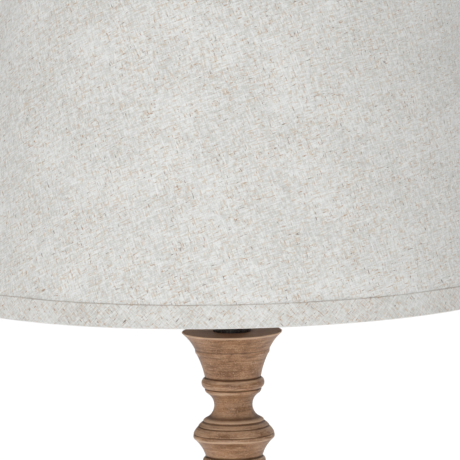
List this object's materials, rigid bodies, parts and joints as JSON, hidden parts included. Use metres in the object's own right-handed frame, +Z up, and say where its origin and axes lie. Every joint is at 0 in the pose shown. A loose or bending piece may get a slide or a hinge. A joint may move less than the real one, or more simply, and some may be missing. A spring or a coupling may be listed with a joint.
{
  "type": "table lamp with shade",
  "caption": "Turned wooden column lamp with a flared cup, a round foot and a tapered linen drum shade held by a harp and finial.",
  "frame": {"origin": "centre of the underside of the felt pad, on the surface that the lamp stands on", "axes": "+Z up along the column's axis, -Y towards the front, +Y towards the cord inlet, +X to the right with the harp's legs along X"},
  "size_m": [0.4062, 0.4062, 0.7413],
  "materials": {
    "washed_wood": "washed and limed, low sheen, dark in the grooves",
    "linen": "pale oatmeal linen weave with tan flecks",
    "liner": "white styrene, satin",
    "felt": "dark brown pressed felt",
    "black_metal": "satin black-bronze paint",
    "zinc_steel": "zinc plated",
    "ring_steel": "white powder coat",
    "brass": "plain",
    "nickel": "nickel plated, slightly dull",
    "solder": "solder, dull",
    "phenolic": "black moulded phenolic",
    "black_plastic": "black moulded nylon",
    "cardboard": "grey-brown fibre board",
    "frosted_glass": "inside frosted, white"
  },
  "bodies": {
    "base": {"felt_pad": "felt", "plinth": "washed_wood", "lower_turning": "washed_wood", "baluster": "washed_wood", "upper_turning": "washed_wood", "cord_bushing": "black_plastic", "lamp_rod": "zinc_steel", "base_washer": "zinc_steel", "base_nut": "zinc_steel", "check_ring": "black_metal", "neck": "black_metal", "harp_saddle": "black_metal", "lock_washer": "zinc_steel", "lock_nut": "black_metal", "socket_cap": "black_metal", "set_screw": "zinc_steel", "socket_shell": "black_metal", "insulating_sleeve": "cardboard", "socket_body": "phenolic", "screw_shell": "brass", "centre_contact": "brass", "terminal_screws": "brass"},
    "switch": {"switch_stem": "zinc_steel", "switch_knob": "phenolic"},
    "bulb": {"bulb_globe": "frosted_glass", "bulb_cap": "nickel", "bulb_insulator": "phenolic", "bulb_contact": "solder"},
    "harp": {"harp_wire": "black_metal", "harp_stud": "black_metal"},
    "sleeve_left": {"sleeve_left": "black_metal"},
    "sleeve_right": {"sleeve_right": "black_metal"},
    "shade": {"shade_fabric": "linen", "shade_liner": "liner", "bottom_hem": "linen", "top_hem": "linen", "bottom_ring": "ring_steel", "top_ring": "ring_steel", "spider": "ring_steel"},
    "finial": {"finial_insert": "black_metal", "finial_knob": "washed_wood"}
  },
  "joints": [
    {"name": "switch_turn", "type": "hinge", "parent": "base", "child": "switch", "pos_m": [0, -0.026, 0.471], "axis": [0, -1, 0], "continuous": true},
    {"name": "bulb_turn", "type": "hinge", "parent": "base", "child": "bulb", "pos_m": [0, 0, 0.5], "axis": [0, 0, 1], "continuous": true},
    {"name": "harp_lift", "type": "slide", "parent": "base", "child": "harp", "axis": [0, 0, 1], "range_m": [0, 0.155]},
    {"name": "sleeve_left_slide", "type": "slide", "parent": "harp", "child": "sleeve_left", "axis": [0, 0, 1], "range_m": [0, 0.016]},
    {"name": "sleeve_right_slide", "type": "slide", "parent": "harp", "child": "sleeve_right", "axis": [0, 0, 1], "range_m": [0, 0.016]},
    {"name": "shade_turn", "type": "hinge", "parent": "harp", "child": "shade", "pos_m": [0, 0, 0.704], "axis": [0, 0, 1], "continuous": true},
    {"name": "finial_turn", "type": "hinge", "parent": "harp", "child": "finial", "pos_m": [0, 0, 0.715], "axis": [0, 0, 1], "continuous": true}
  ]
}
